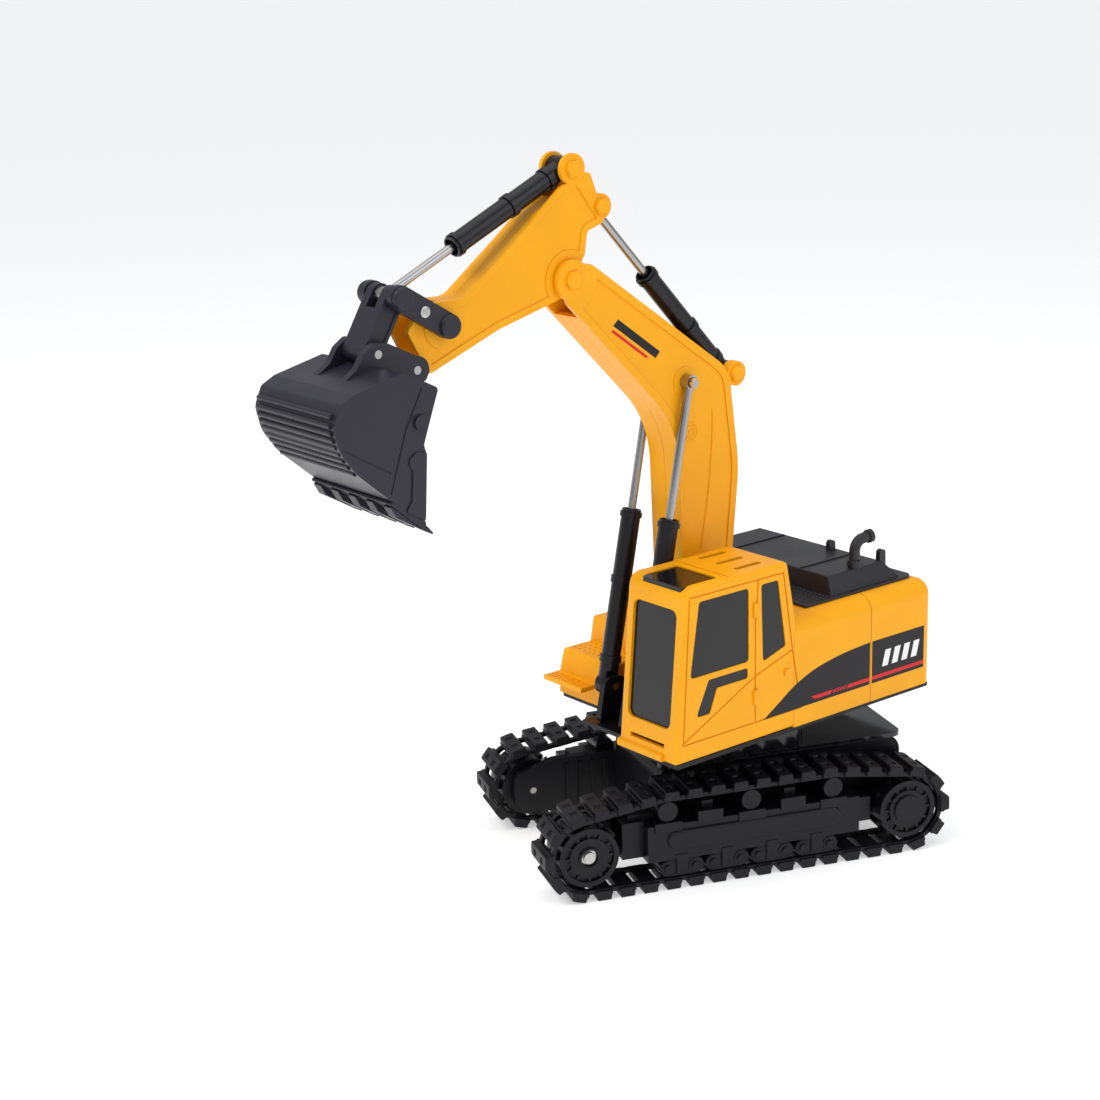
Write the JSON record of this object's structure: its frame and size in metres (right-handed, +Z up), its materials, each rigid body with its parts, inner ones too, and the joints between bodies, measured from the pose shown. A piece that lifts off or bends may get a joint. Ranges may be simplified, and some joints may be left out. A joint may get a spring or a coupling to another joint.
{
  "type": "toy excavator",
  "caption": "Tracked toy excavator: cab house turning on a belt-tracked undercarriage, with a two-piece boom, stick and bucket worked by model cylinders.",
  "frame": {"origin": "centre of the bounding box seen from above, at the height of the face the tracks stand on", "axes": "+Z up, +X forward along the tracks (idler end), +Y to the left of the tracks; the house is turned 21.4 degrees anticlockwise"},
  "size_m": [0.2942, 0.1728, 0.3013],
  "materials": {
    "yellow_abs": "satin moulded ABS, saturated yellow",
    "dark_abs": "satin moulded ABS, dark blue-grey",
    "black_abs": "matt moulded ABS, black",
    "track_rubber": "soft black rubber-like plastic",
    "window_black": "dark smoked moulded panel",
    "silver_steel": "bright drawn steel",
    "zinc_screw": "zinc-plated pan-head screws",
    "motor_can": "plated steel motor can",
    "gear_nylon": "natural nylon",
    "gearbox_abs": "matt moulded gearbox case",
    "battery_wrap": "blue shrink wrap",
    "board_green": "solder mask over glass-fibre board"
  },
  "bodies": {
    "undercarriage": {"chassis_frame": "black_abs", "chassis_deck": "black_abs", "chassis_screws": "zinc_screw", "turntable_base": "black_abs", "swing_gear": "gear_nylon", "battery_door": "black_abs", "battery_pack": "battery_wrap", "side_frame_left": "black_abs", "side_frame_right": "black_abs", "track_left": "track_rubber", "track_right": "track_rubber", "drive_gearbox_left": "gearbox_abs", "drive_gearbox_right": "gearbox_abs", "drive_motor_left": "motor_can", "drive_motor_right": "motor_can", "idler_screws": "zinc_screw"},
    "power_switch": {"power_switch": "black_abs"},
    "left_sprocket": {"sprocket_left": "black_abs", "drive_axle_left": "silver_steel"},
    "right_sprocket": {"sprocket_right": "black_abs", "drive_axle_right": "silver_steel"},
    "left_idler": {"idler_left": "black_abs"},
    "right_idler": {"idler_right": "black_abs"},
    "house": {"house_floor": "black_abs", "body_shell": "yellow_abs", "rear_shell": "yellow_abs", "front_platform": "yellow_abs", "engine_hood": "black_abs", "exhaust_pipe": "black_abs", "windshield": "window_black", "left_windows": "window_black", "right_window": "window_black", "roof_window": "window_black", "circuit_board": "board_green", "swing_motor": "motor_can", "boom_motor": "motor_can", "boom_gearbox": "gearbox_abs", "house_pins": "silver_steel"},
    "swing_pinion": {"swing_pinion": "gear_nylon"},
    "boom": {"boom_left_half": "yellow_abs", "boom_right_half": "yellow_abs", "boom_pins": "silver_steel"},
    "boom_barrels": {"boom_cylinder_barrel_left": "black_abs", "boom_cylinder_barrel_right": "black_abs"},
    "boom_rods": {"boom_cylinder_rod_left": "silver_steel", "boom_cylinder_rod_right": "silver_steel"},
    "stick": {"stick_left_half": "yellow_abs", "stick_right_half": "yellow_abs", "stick_pins": "silver_steel"},
    "stick_barrel": {"stick_cylinder_barrel": "black_abs"},
    "stick_rod": {"stick_cylinder_rod": "silver_steel"},
    "bucket_barrel": {"bucket_cylinder_barrel": "black_abs"},
    "bucket_rod": {"bucket_cylinder_rod": "silver_steel"},
    "rocker": {"rocker_arm_left": "dark_abs", "rocker_arm_right": "dark_abs", "rocker_screws": "zinc_screw", "rocker_front_pin": "silver_steel"},
    "link": {"bucket_link": "dark_abs"},
    "bucket": {"bucket": "dark_abs", "bucket_pins": "silver_steel"}
  },
  "joints": [
    {"name": "house_swing", "type": "hinge", "parent": "undercarriage", "child": "house", "pos_m": [-0.04915, -0.00921, 0.05], "axis": [0, 0, 1], "range_deg": [-196.4, 153.6]},
    {"name": "swing_pinion_turn", "type": "hinge", "parent": "house", "child": "swing_pinion", "pos_m": [-0.07345, -0.01873, 0.06], "axis": [0, 0, 1], "range_deg": [-655.27, 512.6]},
    {"name": "boom_lift", "type": "hinge", "parent": "house", "child": "boom", "pos_m": [-0.04115, -0.00768, 0.092], "axis": [0.3649, -0.9311, 0], "range_deg": [-40, 8]},
    {"name": "boom_barrels_tilt", "type": "hinge", "parent": "house", "child": "boom_barrels", "pos_m": [-0.00624, 0.006, 0.0765], "axis": [0.3649, -0.9311, 0], "range_deg": [-36.58, 7.8]},
    {"name": "boom_rods_tilt", "type": "hinge", "parent": "boom", "child": "boom_rods", "pos_m": [-0.03138, -0.00385, 0.2053], "axis": [0.3649, -0.9311, 0], "range_deg": [-1.4, 4.62]},
    {"name": "stick_turn", "type": "hinge", "parent": "boom", "child": "stick", "pos_m": [0.02216, 0.01713, 0.2533], "axis": [0.3649, -0.9311, 0], "range_deg": [-44, 10]},
    {"name": "stick_barrel_tilt", "type": "hinge", "parent": "boom", "child": "stick_barrel", "pos_m": [-0.05819, -0.01436, 0.2044], "axis": [0.3649, -0.9311, 0], "range_deg": [-6.94, 2.04]},
    {"name": "stick_rod_tilt", "type": "hinge", "parent": "stick", "child": "stick_rod", "pos_m": [0.00651, 0.011, 0.2798], "axis": [0.3649, -0.9311, 0], "range_deg": [-9.16, 38.26]},
    {"name": "bucket_curl", "type": "hinge", "parent": "stick", "child": "bucket", "pos_m": [0.09264, 0.04475, 0.2293], "axis": [0.3649, -0.9311, 0], "range_deg": [-40, 31]},
    {"name": "rocker_turn", "type": "hinge", "parent": "stick", "child": "rocker", "pos_m": [0.0783, 0.03913, 0.2435], "axis": [0.3649, -0.9311, 0], "range_deg": [-30.64, 23.88]},
    {"name": "link_turn", "type": "hinge", "parent": "bucket", "child": "link", "pos_m": [0.10847, 0.05095, 0.2375], "axis": [0.3649, -0.9311, 0], "range_deg": [-28.16, 36.16]},
    {"name": "bucket_barrel_tilt", "type": "hinge", "parent": "stick", "child": "bucket_barrel", "pos_m": [0.01946, 0.01607, 0.2953], "axis": [0.3649, -0.9311, 0], "range_deg": [-5.26, 4.21]},
    {"name": "bucket_rod_tilt", "type": "hinge", "parent": "rocker", "child": "bucket_rod", "pos_m": [0.09804, 0.04686, 0.2565], "axis": [0.3649, -0.9311, 0], "range_deg": [-20.27, 25.98]},
    {"name": "left_sprocket_turn", "type": "hinge", "parent": "undercarriage", "child": "left_sprocket", "pos_m": [-0.12065, 0.03199, 0.0193], "axis": [0, 1, 0], "continuous": true},
    {"name": "left_idler_turn", "type": "hinge", "parent": "undercarriage", "child": "left_idler", "pos_m": [0.02235, 0.03199, 0.0193], "axis": [0, 1, 0], "continuous": true},
    {"name": "right_sprocket_turn", "type": "hinge", "parent": "undercarriage", "child": "right_sprocket", "pos_m": [-0.12065, -0.05041, 0.0193], "axis": [0, 1, 0], "continuous": true},
    {"name": "right_idler_turn", "type": "hinge", "parent": "undercarriage", "child": "right_idler", "pos_m": [0.02235, -0.05041, 0.0193], "axis": [0, 1, 0], "continuous": true},
    {"name": "power_switch_travel", "type": "slide", "parent": "undercarriage", "child": "power_switch", "axis": [1, 0, 0], "range_m": [0, 0.003]}
  ],
  "couplings": [
    {"joint": "swing_pinion_turn", "follows": "house_swing", "ratio": 3.3333},
    {"joint": "boom_barrels_tilt", "follows": "boom_lift", "ratio": 0.8996},
    {"joint": "boom_rods_tilt", "follows": "boom_lift", "ratio": -0.1004},
    {"joint": "stick_barrel_tilt", "follows": "stick_turn", "ratio": 0.144},
    {"joint": "stick_rod_tilt", "follows": "stick_turn", "ratio": -0.856},
    {"joint": "rocker_turn", "follows": "bucket_curl", "ratio": 0.751},
    {"joint": "link_turn", "follows": "bucket_curl", "ratio": -0.889},
    {"joint": "bucket_barrel_tilt", "follows": "bucket_curl", "ratio": 0.1165},
    {"joint": "bucket_rod_tilt", "follows": "bucket_curl", "ratio": -0.6345},
    {"joint": "left_idler_turn", "follows": "left_sprocket_turn", "ratio": 1},
    {"joint": "right_idler_turn", "follows": "right_sprocket_turn", "ratio": 1}
  ]
}
